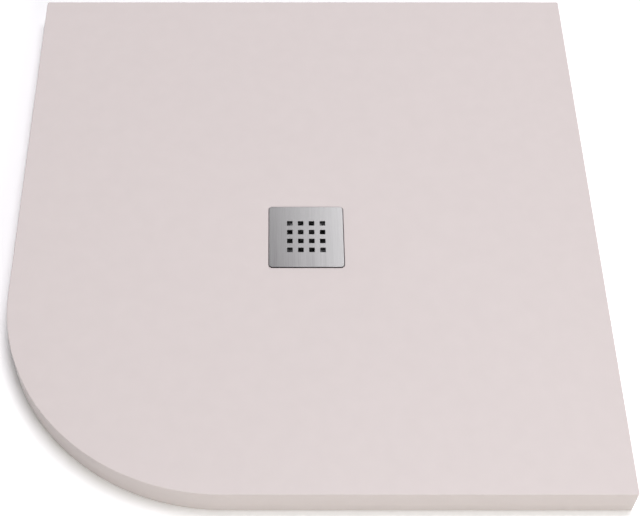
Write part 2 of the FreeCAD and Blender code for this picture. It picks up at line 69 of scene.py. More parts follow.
ROUND_SEGMENTS = 6            # faces across a large rounding of a turned piece
EASING_SEGMENTS = 3           # and across its plain corners
LARGE_FACES_LEAD = 80         # weight of the large faces in the shading
BLACK = (0.0, 0.0, 0.0)
WHITE = (1.0, 1.0, 1.0)


class Body(Enum):
    """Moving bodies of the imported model."""

    TRAY = "tray"
    COVER = "cover"
    BASKET = "basket"
    BELL = "bell"


class Combine(Enum):
    """Ways to combine a piece with a tool."""

    CUT = "DIFFERENCE"
    WELD = "UNION"


class Graph:
    """Node tree of a material or a world, with short calls for the nodes that the looks use."""

    def __init__(self, owner: Material | bpy.types.World, shader: str) -> None:
        """Open the owner's tree, which holds only its shader and output.

        Args:
            owner: Material or world.
            shader: Name of its shader node.
        """
        owner.use_nodes = True
        self.owner = owner
        self.tree = owner.node_tree
        self.shader = self.tree.nodes[shader]

    @staticmethod
    def of_material(name: str) -> "Graph":
        """Graph of a new material."""
        return Graph(bpy.data.materials.new(name), "Principled BSDF")

    def node(self, kind: str, **settings: object) -> bpy.types.Node:
        """Add a node and set its plain attributes.

        Args:
            kind: Blender's type name of the node.
            **settings: Attributes of the node and their values.

        Returns:
            The new node.
        """
        made = self.tree.nodes.new(kind)
        for key, value in settings.items():
            setattr(made, key, value)
        return made

    def link(self, source: Socket, target: Socket) -> None:
        """Join two sockets."""
        self.tree.links.new(source, target)

    def place(self, scale: tuple[float, float, float], centre: Vector = Vector()) -> Socket:
        """Object coordinates about a centre, stretched along each axis.

        Args:
            scale: Stretch along X, Y and Z.
            centre: Point, in metres, that becomes the pattern's zero.

        Returns:
            Socket that gives the pattern's coordinates.
        """
        coordinates = self.node("ShaderNodeTexCoord")
        mapping = self.node("ShaderNodeMapping")
        mapping.inputs["Scale"].default_value = scale
        mapping.inputs["Location"].default_value = [-c * s for c, s in zip(centre, scale)]
        self.link(coordinates.outputs["Object"], mapping.inputs["Vector"])
        return mapping.outputs["Vector"]

    def noise(self, where: Socket, scale: float, detail: float = 2.0, roughness: float = 0.5) -> Socket:
        """Noise pattern of 0 to 1.

        Args:
            where: Coordinates of the pattern.
            scale: Waves per metre.
            detail: Octaves of finer noise.
            roughness: Strength of the finer octaves.

        Returns:
            Socket with the noise value.
        """
        noise = self.node("ShaderNodeTexNoise")
        noise.inputs["Scale"].default_value = scale
        noise.inputs["Detail"].default_value = detail
        noise.inputs["Roughness"].default_value = roughness
        self.link(where, noise.inputs["Vector"])
        return noise.outputs["Fac"]

    def spread(self, value: Socket, low: float, high: float, start: float = 0.3, end: float = 0.7,
               curve: str = "LINEAR") -> Socket:
        """Map a pattern's usual range to a range of strengths.

        Args:
            value: Pattern to map.
            low: Result at the range's start.
            high: Result at the range's end.
            start: Pattern value that gives low.
            end: Pattern value that gives high.
            curve: Blender's name of the curve between them.

        Returns:
            Socket with the mapped value.
        """
        mapped = self.node("ShaderNodeMapRange", interpolation_type=curve)
        for name, number in (("From Min", start), ("From Max", end), ("To Min", low), ("To Max", high)):
            mapped.inputs[name].default_value = number
        self.link(value, mapped.inputs["Value"])
        return mapped.outputs["Result"]

    def combine(self, way: str, *values: Socket) -> Socket:
        """One value made of several by one of Blender's math operations.

        Args:
            way: Blender's name of the operation.
            *values: Values that it takes in turn.

        Returns:
            Socket with the new value.
        """
        total = values[0]
        for value in values[1:]:
            both = self.node("ShaderNodeMath", operation=way)
            self.link(total, both.inputs[0])
            self.link(value, both.inputs[1])
            total = both.outputs["Value"]
        return total

    def seen_by_eye(self) -> Socket:
        """Value that is 1 for what the camera sees directly, in gloss or through glass."""
        rays = self.node("ShaderNodeLightPath").outputs
        return self.combine("MAXIMUM", rays["Is Camera Ray"], rays["Is Glossy Ray"], rays["Is Transmission Ray"])

    def blend(self, share: Socket, first: Colour | Socket, second: Colour) -> Socket:
        """Colour between two colours, by a pattern.

        Args:
            share: Pattern, 0 for the first colour and 1 for the second.
            first: Colour where the pattern is 0.
            second: Colour where the pattern is 1.

        Returns:
            Socket with the mixed colour.
        """
        mix = self.node("ShaderNodeMix", data_type="RGBA")
        self.put(mix.inputs["A"], first)
        self.put(mix.inputs["B"], second)
        self.link(share, mix.inputs["Factor"])
        return mix.outputs["Result"]

    def bump(self, height: Socket, depth: float, under: Socket | None = None) -> Socket:
        """Bend the surface's normal by a height pattern.

        Args:
            height: Pattern of heights, 0 to 1.
            depth: Height in metres that 1 stands for.
            under: Normal that this bump is added to, if any.

        Returns:
            Socket with the bent normal.
        """
        bump = self.node("ShaderNodeBump")
        bump.inputs["Distance"].default_value = depth
        self.link(height, bump.inputs["Height"])
        if under is not None:
            self.link(under, bump.inputs["Normal"])
        return bump.outputs["Normal"]

    def put(self, target: Socket, value: object) -> None:
        """Give a socket its value, or link it where the value is a socket too.

        Args:
            target: Socket to set.
            value: Number, colour or socket.
        """
        if isinstance(value, Socket):
            self.link(value, target)
        else:
            target.default_value = (*value, 1.0) if isinstance(value, tuple) else value

    def set(self, name: str, value: object) -> None:
        """Set one of the shader's own sockets."""
        self.put(self.shader.inputs[name], value)


@dataclass(frozen=True)
class CastResin:
    """Cast mineral resin with a satin gel coat: almost even, with a faint mottle and a fine grain."""

    name: str = "cast_resin"
    light: Colour = (0.730461, 0.658375, 0.658375)
    shade: Colour = (0.715694, 0.644480, 0.644480)
    mottle_per_metre: float = 38.0
    grain_per_metre: float = 420.0
    grain_depth: float = 0.00004
    grain_strength: float = 0.6
    ripple_per_metre: float = 9.0
    ripple_depth: float = 0.0003
    octaves: float = 3.0
    roughness: float = 0.46
    roughness_swing: float = 0.05
    specular: float = 0.32

    def build(self) -> Material:
        """Build the material.

        Returns:
            The finished material.
        """
        graph = Graph.of_material(self.name)
        where = graph.place((1.0, 1.0, 1.0))
        mottle = graph.noise(where, self.mottle_per_metre, self.octaves)
        grain = graph.noise(where, self.grain_per_metre, self.octaves, self.grain_strength)
        ripple = graph.noise(where, self.ripple_per_metre, 1.0)
        graph.set("Base Color", graph.blend(graph.spread(mottle, 0.0, 1.0), self.shade, self.light))
        graph.set("Roughness", graph.spread(grain, self.roughness - self.roughness_swing,
                                            self.roughness + self.roughness_swing))
        graph.set("Specular IOR Level", self.specular)
        graph.set("Normal", graph.bump(grain, self.grain_depth, graph.bump(ripple, self.ripple_depth)))
        return graph.owner


@dataclass(frozen=True)
class BrushedSteel:
    """Stainless steel brushed along one direction, with a painted reflection that makes it lighter to the right and
    towards the back.
    """

    name: str = "brushed_stainless"
    light: Colour = (0.373, 0.368, 0.37)
    dark: Colour = (0.11, 0.108, 0.11)
    streak: float = 0.19          # share of the colour that the brushing varies
    painted_reflection_fade: float = 0.23            # share of the painted reflection that fades from the back edge to the front one
    half_width: float = 0.0575
    fine_across: float = 1500.0   # waves per metre, as are the next three
    fine_along: float = 18.0
    broad_across: float = 160.0
    broad_along: float = 4.5
    fine_octaves: float = 4.0
    broad_octaves: float = 2.0
    fine_share: float = 0.6
    streak_range: Pair = (0.1, 0.9)
    roughness: float = 0.38
    roughness_swing: float = 0.06
    roughness_range: Pair = (0.2, 0.8)
    groove_depth: float = 0.00003

    def build(self) -> Material:
        """Build the material.

        Returns:
            The finished material.
        """
        graph = Graph.of_material(self.name)
        fine, broad = (graph.noise(graph.place((across, along, across)), 1.0, octaves) for across, along, octaves in (
            (self.fine_across, self.fine_along, self.fine_octaves),
            (self.broad_across, self.broad_along, self.broad_octaves)))
        streaks = graph.combine("ADD", graph.spread(fine, 0.0, self.fine_share),
                                graph.spread(broad, 0.0, 1.0 - self.fine_share))
        side = graph.node("ShaderNodeSeparateXYZ")
        graph.link(graph.place((1.0, 1.0, 1.0), drain_axis()), side.inputs["Vector"])
        # Painted reflection: the colour grows lighter from the plate's left edge to its right and from its front edge
        # to its back; shade adds the brushing streaks to it.
        painted_reflection_share = 1.0 - self.streak - self.painted_reflection_fade
        painted_reflection = graph.spread(side.outputs["X"], 0.0, painted_reflection_share, -self.half_width, self.half_width)
        painted_reflection_fade = graph.spread(side.outputs["Y"], 0.0, self.painted_reflection_fade, -self.half_width, self.half_width)
        shade = graph.combine("ADD", painted_reflection, painted_reflection_fade, graph.spread(streaks, 0.0, self.streak, *self.streak_range))
        graph.set("Base Color", graph.blend(shade, self.dark, self.light))
        graph.set("Metallic", 1.0)
        graph.set("Roughness", graph.spread(streaks, self.roughness + self.roughness_swing,
                                            self.roughness - self.roughness_swing, *self.roughness_range))
        graph.set("Normal", graph.bump(fine, self.groove_depth))
        return graph.owner


@dataclass(frozen=True)
class Clouded:
    """Finish with soft clouds in its colour and sheen and a fine grain: plastic, rubber or metal."""

    name: str
    dark: Colour
    light: Colour
    roughness: float = 0.5
    smoother: float = 0.05
    rougher: float = 0.07
    cloud_per_metre: float = 70.0
    cloud_octaves: float = 3.0
    grain_per_metre: float = 2600.0
    grain_depth: float = 0.00003
    metallic: float = 0.0
    stretch: float = 1.0

    def build(self) -> Material:
        """Build the material.

        Returns:
            The finished material.
        """
        graph = Graph.of_material(self.name)
        where = graph.place((1.0, 1.0, self.stretch))
        cloud = graph.noise(where, self.cloud_per_metre, self.cloud_octaves)
        graph.set("Base Color", graph.blend(graph.spread(cloud, 0.0, 1.0), self.dark, self.light))
        graph.set("Metallic", self.metallic)
        graph.set("Roughness", graph.spread(cloud, self.roughness - self.smoother, self.roughness + self.rougher))
        if self.grain_depth:
            graph.set("Normal", graph.bump(graph.noise(where, self.grain_per_metre), self.grain_depth))
        return graph.owner


@dataclass(frozen=True)
class SatinSteel(Clouded):
    """Stainless steel of pressed and turned parts, darkened as painted shade for their place under the cover, or the
    same darkened almost to black as painted shade on screw heads.
    """

    name: str = "plain_stainless"
    # Dark steel tones: painted shade for the flange and screws under the cover.
    dark: Colour = (0.12, 0.12, 0.124)
    light: Colour = (0.2, 0.2, 0.205)
    roughness: float = 0.42
    rougher: float = 0.08
    cloud_per_metre: float = 120.0
    cloud_octaves: float = 4.0
    grain_per_metre: float = 2400.0
    grain_depth: float = 0.000008
    metallic: float = 1.0


FINISHES = (
    CastResin(),
    BrushedSteel(),
    SatinSteel(),
    # Screw steel made near black: painted shade on the screw heads seen through the cover's holes.
    SatinSteel("blackened_screw_steel", (0.02, 0.02, 0.021), (0.035, 0.035, 0.037), roughness=0.5,
               cloud_per_metre=300.0, grain_per_metre=6000.0),
    # Turned brass, clouded round the bush rather than along it.
    Clouded("insert_brass", (0.56, 0.4, 0.18), (0.78, 0.6, 0.32), roughness=0.28, smoother=0.0, rougher=0.15,
            cloud_per_metre=600.0, grain_depth=0.0, metallic=1.0, stretch=6.0),
    Clouded("black_rubber", (0.02, 0.02, 0.02), (0.035, 0.035, 0.035), roughness=0.62),
    Clouded("grey_rubber", (0.1, 0.1, 0.1), (0.13, 0.13, 0.13), roughness=0.6),
    Clouded("dark_plastic", (0.018, 0.018, 0.02), (0.03, 0.03, 0.032), roughness=0.42),
    Clouded("grey_plastic", (0.2, 0.205, 0.21), (0.25, 0.255, 0.26), roughness=0.48),
)


def dress() -> dict[str, Material]:
    """Build the finishes and put each on the nodes that the record gives it to.

    Returns:
        The finishes by their names.
    """
    finishes = {finish.name: finish.build() for finish in FINISHES}
    for part in frame["record"]["subparts"]:
        mesh = frame["nodes"][part["node"]].data
        mesh.materials.clear()
        mesh.materials.append(finishes[part["material_slot"]])
        log.info("dressed %s in %s", part["node"], part["material_slot"])
    return finishes


# Hand tools. A piece's place stays in its mesh.
def leave_edit() -> None:
    """Leave edit mode and deselect everything."""
    if bpy.context.mode != "OBJECT":
        bpy.ops.object.mode_set(mode="OBJECT")
    bpy.ops.object.select_all(action="DESELECT")


def select_only(piece: Piece) -> None:
    """Select one piece alone and make it active."""
    leave_edit()
    piece.select_set(True)
    bpy.context.view_layer.objects.active = piece


def edit_all(piece: Piece) -> None:
    """Open one piece in edit mode with all of it selected."""
    select_only(piece)
    bpy.ops.object.mode_set(mode="EDIT")
    bpy.ops.mesh.select_mode(type="VERT")
    bpy.ops.mesh.select_all(action="SELECT")


def pick(piece: Piece, kind: str, test: Callable[[Vector], bool]) -> None:
    """Open a piece in edit mode with only those elements selected whose middle passes a test.

    Args:
        piece: Piece to open.
        kind: VERT, EDGE or FACE.
        test: Called with each element's middle, in millimetres from the frame's origin.
    """
    edit_all(piece)
    bpy.ops.mesh.select_all(action="DESELECT")
    bpy.ops.mesh.select_mode(type=kind)
    bpy.ops.object.mode_set(mode="OBJECT")
    points = piece.data.vertices
    for element in {"VERT": points, "EDGE": piece.data.edges, "FACE": piece.data.polygons}[kind]:
        corners = [element.co] if kind == "VERT" else [points[index].co for index in element.vertices]
        element.select = test(sum(corners, Vector()) / len(corners) / MILLIMETRE)
    bpy.ops.object.mode_set(mode="EDIT")


def draw_outline(name: str, points: list[Vector]) -> Piece:
    """Closed outline, pulled from corner to corner out of a single vertex.

    Args:
        name: Name of the piece.
        points: The outline's corners, in metres.

    Returns:
        The outline.
    """
    leave_edit()
    bpy.ops.mesh.primitive_plane_add(size=MILLIMETRE, location=points[0])
    piece = bpy.context.object
    piece.name = name
    bpy.ops.object.transform_apply(location=True)
    edit_all(piece)
    bpy.ops.mesh.merge(type="CENTER")
    for start, end in zip(points, points[1:] + points[:1]):
        bpy.ops.mesh.extrude_vertices_move(TRANSFORM_OT_translate={"value": end - start})
    bpy.ops.mesh.select_all(action="SELECT")
    bpy.ops.mesh.remove_doubles(threshold=MERGE_DISTANCE)
    leave_edit()
    return piece


def lathe(name: str, outline: list[Pair], easing: float, rounds: dict[Pair, float] | None = None,
          steps: int = 128) -> Piece:
    """Turn a closed outline once round the drain axis.

    Args:
        name: Name of the piece.
        outline: Radius and height of each corner, in millimetres.
        easing: Rounding of the outline's corners, in millimetres.
        rounds: Corners with a larger rounding of their own.
        steps: Steps of the spin.

    Returns:
        The turned piece.
    """
    axis = drain_axis()
    points = [Vector((axis.x + r * MILLIMETRE, axis.y, z * MILLIMETRE)) for r, z in outline]
    piece = draw_outline(name, points)
    special = dict(rounds or {})
    plain = [corner for corner in outline if corner not in special and corner[0] > 0]
    groups = [([corner], width, ROUND_SEGMENTS) for corner, width in special.items()]
    groups.append((plain, easing, EASING_SEGMENTS))
    for corners, width, segments in groups:
        pick(piece, "VERT", lambda point: any(
            math.hypot(point.x - axis.x / MILLIMETRE - r, point.z - z) < NEAR for r, z in corners))
        round_off(width, segments)
    edit_all(piece)
    bpy.ops.mesh.spin(steps=steps, angle=2 * math.pi, center=axis, axis=(0, 0, 1))
    close_mesh(piece)
    return piece


def block(name: str, low: Vector, high: Vector) -> Piece:
    """Block between two corners, in millimetres, to be shaped further.

    Args:
        name: Name of the piece.
        low: Lowest corner.
        high: Highest corner.

    Returns:
        The block.
    """
    leave_edit()
    bpy.ops.mesh.primitive_cube_add(size=MILLIMETRE, location=(low + high) / 2 * MILLIMETRE, scale=high - low)
    piece = bpy.context.object
    piece.name = name
    bpy.ops.object.transform_apply(location=True, scale=True)
    return piece


def prism(name: str, outline: list[Vector], along: Vector) -> Piece:
    """Straight solid: a flat outline filled and extruded.

    Args:
        name: Name of the piece.
        outline: Corners, in millimetres.
        along: Way and length of the extrusion, in millimetres.

    Returns:
        The solid.
    """
    piece = draw_outline(name, [corner * MILLIMETRE for corner in outline])
    edit_all(piece)
    bpy.ops.mesh.edge_face_add()
    bpy.ops.mesh.extrude_region_move(TRANSFORM_OT_translate={"value": along * MILLIMETRE})
    close_mesh(piece)
    return piece


def close_mesh(piece: Piece) -> None:
    """Merge a mesh's doubles, drop what is left loose and turn its faces outwards."""
    edit_all(piece)
    bpy.ops.mesh.remove_doubles(threshold=MERGE_DISTANCE)
    bpy.ops.mesh.delete_loose()
    bpy.ops.mesh.select_all(action="SELECT")
    bpy.ops.mesh.normals_make_consistent(inside=False)
    leave_edit()


def apply_modifier(piece: Piece, kind: str, **settings: object) -> None:
    """Add a modifier and apply it.

    Args:
        piece: Piece to change.
        kind: Blender's type name of the modifier.
        **settings: Attributes of the modifier and their values.
    """
    select_only(piece)
    modifier = piece.modifiers.new(kind.lower(), kind)
    for key, value in settings.items():
        setattr(modifier, key, value)
    bpy.ops.object.modifier_apply(modifier=modifier.name)


def round_off(width: float, segments: int, kind: str = "VERTICES") -> None:
    """Round the picked corners or edges by a width in millimetres."""
    bpy.ops.mesh.bevel(offset=width * MILLIMETRE, segments=segments, affect=kind)


def ease(piece: Piece, width: float, segments: int = 2, angle: float = 50.0) -> None:
    """Round a piece's sharp edges.

    Args:
        piece: Piece to change.
        width: Width of the rounding, in millimetres.
        segments: Faces across the rounding.
        angle: Edges sharper than this many degrees are rounded.
    """
    apply_modifier(piece, "BEVEL", width=width * MILLIMETRE, segments=segments, limit_method="ANGLE",
                   angle_limit=math.radians(angle), use_clamp_overlap=True)


def combine(piece: Piece, tool: Piece, way: Combine) -> None:
    """Cut a piece by a tool or weld the tool on, and drop the tool."""
    apply_modifier(piece, "BOOLEAN", object=tool, operation=way.value, solver="EXACT")
    bpy.data.objects.remove(tool)
    close_mesh(piece)


def copy_of(piece: Piece) -> Piece:
    """Copy of a piece with a mesh of its own."""
    select_only(piece)
    bpy.ops.object.duplicate()
    return bpy.context.object


def ring_of(piece: Piece, count: int, start: float = 0.0) -> Piece:
    """Copies of a piece evenly round the drain axis, joined; the piece itself is used up.

    Args:
        piece: Piece to copy.
        count: How many copies.
        start: Turn of the first copy, in degrees.

    Returns:
        The joined copies.
    """
    made = []
    for index in range(count):
        copy = copy_of(piece)
        edit_all(copy)
        turn = math.radians(start + index * 360.0 / count)
        bpy.ops.transform.rotate(value=turn, orient_axis="Z", center_override=drain_axis())
        made.append(copy)
    name = piece.name
    bpy.data.objects.remove(piece)
    return join(name, made)


def join(name: str, pieces: list[Piece]) -> Piece:
    """Join pieces into one object under a name."""
    select_only(pieces[0])
    for piece in pieces:
        piece.select_set(True)
    if len(pieces) > 1:
        bpy.ops.object.join()
    pieces[0].name = name
    return pieces[0]


def copy_of_node(name: str, node: str) -> Piece:
    """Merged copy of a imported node, whose curved faces can be shaded smooth.

    Args:
        name: Name of the copy.
        node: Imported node.

    Returns:
        The copy.
    """
    piece = copy_of(frame["nodes"][node])
    piece.name = name
    piece.parent = None
    edit_all(piece)
    bpy.ops.mesh.remove_doubles(threshold=2 * MERGE_DISTANCE)
    leave_edit()
    return piece


def shade_smooth(piece: Piece, angle: float) -> None:
    """Shade a piece smooth up to an angle, its normals led by the large faces."""
    select_only(piece)
    bpy.ops.object.shade_smooth_by_angle(angle=math.radians(angle))
    apply_modifier(piece, "WEIGHTED_NORMAL", keep_sharp=True, weight=LARGE_FACES_LEAD)


def middle_of(node: str) -> Vector:
    """Middle of a node's box, in metres."""
    low, high = (Vector(corner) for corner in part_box(node))
    return (low + high) / 2


def drain_axis() -> Vector:
    """Where the drain axis meets the floor: under the flange's middle."""
    middle = middle_of("clamp_flange")
    return Vector((middle.x, middle.y, 0.0))


def box_of(node: str) -> tuple[Vector, Vector]:
    """Lowest and highest corner of a node's box, in millimetres."""
    low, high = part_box(node)
    return Vector(low) / MILLIMETRE, Vector(high) / MILLIMETRE


def heights_of(node: str) -> Pair:
    """Heights of a node's bottom and top, in millimetres."""
    low, high = box_of(node)
    return low.z, high.z


def from_axis(x: float, y: float, z: float) -> Vector:
    """Point in millimetres given from the drain axis instead of the frame's origin."""
    return drain_axis() / MILLIMETRE + Vector((x, y, z))


@dataclass
class Assembly:
    """A sub-assembly: it builds its pieces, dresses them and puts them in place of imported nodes."""

    finishes: dict[str, Material]
    body: Body = Body.TRAY

    def place(self, piece: Piece, slot: str, *nodes: str, angle: float = 30.0, finish: str | None = None) -> None:
        """Dress a finished piece, ride it on the body and let it stand for its nodes.

        Args:
            piece: Finished piece.
            slot: Material slot of the record.
            *nodes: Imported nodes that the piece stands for.
            angle: Edges sharper than this many degrees stay sharp.
            finish: Finish, where it differs from the slot's own.
        """
        shade_smooth(piece, angle)
        piece.data.materials.clear()
        piece.data.materials.append(self.finishes[finish or slot])
        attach(piece, self.body.value)
        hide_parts(*nodes)
        log.info("%s: %d faces, in place of %s", piece.name, len(piece.data.polygons), ", ".join(nodes))


@dataclass
class Casting(Assembly):
    """The cast slab."""

    def build(self) -> None:
        """Build the slab, smooth round its large corner and along its eased edges."""
        self.place(copy_of_node("tray_casting", "tray_slab"), "cast_resin", "tray_slab")


@dataclass
class DrainCover(Assembly):
    """Pressed square plate with its grid of square holes, and its rubber feet. Sizes in millimetres."""

    body: Body = Body.COVER
    corner_radius: float = 5.0
    corner_segments: int = 10
    hole_side: float = 8.7
    hole_pitch: float = 17.0
    holes_across: int = 4
    hole_corner: float = 0.8
    hole_corner_segments: int = 3
    edge_round: float = 0.4
    edge_segments: int = 3
    sharp_edge: float = 60.0      # degrees above which an edge of the plate is rounded
    socket_side: float = 4.0
    socket_depth: float = 5.3
    foot_easing: float = 0.5
    sole_border: float = 2.0
    sole_hollow: float = 1.2

    def build(self) -> None:
        """Build the plate and the feet."""
        self.place(self.plate(), "brushed_stainless", "drain_cover", angle=40.0)
        pattern = self.foot()
        start = middle_of("cover_foot_front_left")
        for corner in ("front_left", "front_right", "back_left", "back_right"):
            foot = copy_of(pattern)
            foot.name = "cover_pad_" + corner
            edit_all(foot)
            bpy.ops.transform.translate(value=middle_of("cover_foot_" + corner) - start)
            self.place(foot, "grey_rubber", "cover_foot_" + corner)
        bpy.data.objects.remove(pattern)

    def plate(self) -> Piece:
        """Cut the grid of holes out of a square sheet and give the sheet its thickness.

        Returns:
            The plate.
        """
        low, high = box_of("drain_cover")
        half_side = (high.x - low.x) / 2
        axis = drain_axis() / MILLIMETRE
        leave_edit()
        bpy.ops.mesh.primitive_plane_add(size=2 * half_side * MILLIMETRE,
                                         location=(axis + Vector((0, 0, high.z))) * MILLIMETRE)
        plate = bpy.context.object
        plate.name = "cover_plate"
        bpy.ops.object.transform_apply(location=True)
        first = -(self.holes_across - 1) * self.hole_pitch / 2
        centres = [first + index * self.hole_pitch for index in range(self.holes_across)]
        half = self.hole_side / 2
        edit_all(plate)
        for way in (Vector((1, 0, 0)), Vector((0, 1, 0))):
            for edge in [centre + side for centre in centres for side in (-half, half)]:
                bpy.ops.mesh.select_all(action="SELECT")
                bpy.ops.mesh.bisect(plane_co=(axis + way * edge) * MILLIMETRE, plane_no=way)

        def across(point: Vector) -> Pair:
            """Distances from the plate's two middle lines."""
            return point.x - axis.x, point.y - axis.y

        def off_centre(distance: float) -> float:
            """How far a distance is from the nearest hole's middle."""
            return min(abs(distance - centre) for centre in centres)

        pick(plate, "FACE", lambda point: all(off_centre(d) < half / 2 for d in across(point)))
        bpy.ops.mesh.delete(type="FACE")
        pick(plate, "VERT", lambda point: all(abs(d) > half_side - NEAR for d in across(point)))
        round_off(self.corner_radius, self.corner_segments)
        pick(plate, "VERT", lambda point: all(abs(off_centre(d) - half) < NEAR for d in across(point)))
        round_off(self.hole_corner, self.hole_corner_segments)
        apply_modifier(plate, "SOLIDIFY", thickness=(high.z - low.z) * MILLIMETRE, offset=-1)
        ease(plate, self.edge_round, self.edge_segments, self.sharp_edge)
        return plate

    def foot(self) -> Piece:
        """Mould one square rubber foot with the socket for its stud and a hollow in its sole.

        Returns:
            The foot at the front left.
        """
        low, high = box_of("cover_foot_front_left")
        foot = block("foot_pattern", low, high)
        for level, border, depth in ((high.z, (high.x - low.x - self.socket_side) / 2, -self.socket_depth),
                                     (low.z, self.sole_border, self.sole_hollow)):
            pick(foot, "FACE", lambda point: abs(point.z - level) < NEAR)
            bpy.ops.mesh.inset(thickness=border * MILLIMETRE)
            bpy.ops.mesh.extrude_region_move(TRANSFORM_OT_translate={"value": (0, 0, depth * MILLIMETRE)})
        ease(foot, self.foot_easing, self.edge_segments)
        return foot


@dataclass
class StrainerBasket(Assembly):
    """Moulded hair catcher with two rings of round-ended slots. Sizes in millimetres."""

    body: Body = Body.BASKET
    wall: float = 1.5
    rim_width: float = 2.2
    rim_thickness: float = 1.5
    seat_depth: float = 1.2
    draft: float = 1.0
    hub_radius: float = 8.5
    slot_width: float = 2.6
    slot_bridge: float = 3.0
    inner_slot: float = 7.0
    inner_count: int = 12
    outer_count: int = 24
    grip_radius: float = 3.5
    grip_height: float = 5.0
    grip_waist: float = 0.6
    grip_round: float = 0.8
    grip_steps: int = 48
    easing: float = 0.4
    grip_easing: float = 0.3
    slot_end_share: float = 0.95      # share of a slot's half width that its round end takes
    slot_end_segments: int = 4

    def build(self) -> None:
        """Build the basket."""
        low, high = box_of("strainer_basket")
        rim = (high.x - low.x) / 2
        radius = rim - self.rim_width
        floor = radius - self.draft
        grip_top = low.z + self.wall + self.grip_height
        rim_top = heights_of("clamp_flange")[1] - self.seat_depth + self.rim_thickness
        basket = lathe("hair_catcher", [
            (0, low.z), (floor, low.z), (radius, rim_top - self.rim_thickness),
            (rim, rim_top - self.rim_thickness), (rim, rim_top), (radius - self.wall, rim_top),
            (floor - self.wall, low.z + self.wall), (0, low.z + self.wall),
        ], self.easing)
        inner_end = self.hub_radius + self.inner_slot
        for start, end, count in ((self.hub_radius, inner_end, self.inner_count),
                                  (inner_end + self.slot_bridge, floor - 2 * self.wall, self.outer_count)):
            combine(basket, self.slots(start, end, count, low.z), Combine.CUT)
        grip = lathe("grip", [
            (0, low.z + self.wall / 2), (self.grip_radius, low.z + self.wall / 2),
            (self.grip_radius - self.grip_waist, low.z + self.wall + self.grip_height / 2),
            (self.grip_radius, grip_top), (0, grip_top),
        ], self.grip_easing, {(self.grip_radius, grip_top): self.grip_round}, self.grip_steps)
        combine(basket, grip, Combine.WELD)
        self.place(basket, "dark_plastic", "strainer_basket")

    def slots(self, start: float, end: float, count: int, bottom: float) -> Piece:
        """Cutter for one ring of slots.

        Args:
            start: Radius where the slots start.
            end: Radius where they end.
            count: Slots in the ring.
            bottom: Height of the basket's underside.

        Returns:
            The cutter.
        """
        half = self.slot_width / 2
        cutter = block("slot", from_axis(start, -half, bottom - OVERSHOOT),
                       from_axis(end, half, bottom + self.wall + OVERSHOOT))
        pick(cutter, "EDGE", lambda point: abs(point.z - bottom - self.wall / 2) < NEAR)
        round_off(self.slot_end_share * half, self.slot_end_segments, "EDGES")
        return ring_of(cutter, count)


@dataclass
class TrapBell(Assembly):
    """Moulded bell of the trap, with its finger grip and the fins that centre it. Sizes in millimetres."""

    body: Body = Body.BELL
    wall: float = 1.8
    crown_drop: float = 4.0
    crown_set_in: float = 7.0
    crown_round: float = 3.0
    grip_length: float = 22.0
    grip_width: float = 3.0
    grip_height: float = 1.2
    fin_count: int = 3
    fin_thickness: float = 1.6
    fin_fit: float = 0.5
    fin_overlap: float = 3.0
    fin_skirt: float = 6.0
    pipe_radius: float = 19.0
    bore_radius: float = 17.0
    first_fin: float = 90.0
    easing: float = 0.4
    grip_easing: float = 0.5
    grip_segments: int = 3
    fin_easing: float = 0.25

    def build(self) -> None:
        """Build the bell."""
        low, high = box_of("trap_bell")
        radius = (high.x - low.x) / 2
        top = high.z - self.grip_height
        ceiling = top - self.wall
        inner = radius - self.wall
        bell = lathe("bell", [
            (inner, low.z), (radius, low.z), (radius, top - self.crown_drop), (radius - self.crown_set_in, top),
            (0, top), (0, ceiling), (inner - self.crown_set_in, ceiling), (inner, ceiling - self.crown_drop),
        ], self.easing, {corner: self.crown_round for corner in (
            (radius, top - self.crown_drop), (radius - self.crown_set_in, top),
            (inner - self.crown_set_in, ceiling), (inner, ceiling - self.crown_drop))})
        grip = block("grip", from_axis(-self.grip_length / 2, -self.grip_width / 2, ceiling + self.wall / 2),
                     from_axis(self.grip_length / 2, self.grip_width / 2, high.z))
        ease(grip, self.grip_easing, self.grip_segments)
        fins = ring_of(self.fin(radius, ceiling), self.fin_count, self.first_fin)
        for tool in (grip, fins):
            combine(bell, tool, Combine.WELD)
        self.place(bell, "dark_plastic", "trap_bell")

    def fin(self, radius: float, ceiling: float) -> Piece:
        """Fin that rests on the standpipe's rim and centres the bell round it.

        Args:
            radius: Outer radius of the bell.
            ceiling: Height of the bell's inside.

        Returns:
            The first fin.
        """
        rest = heights_of("outlet_standpipe")[1]
        inner_end = self.bore_radius - self.fin_overlap
        clear = self.pipe_radius + self.fin_fit
        wall, crown, side = radius - self.wall / 2, ceiling + self.wall / 2, -self.fin_thickness / 2
        outline = [(inner_end, rest), (clear, rest), (clear, rest - self.fin_skirt), (wall, rest - self.fin_skirt),
                   (wall, crown - self.crown_drop), (wall - self.crown_set_in, crown), (inner_end, crown)]
        fin = prism("fin", [from_axis(r, side, z) for r, z in outline], Vector((0, self.fin_thickness, 0)))
        ease(fin, self.fin_easing)
        return fin


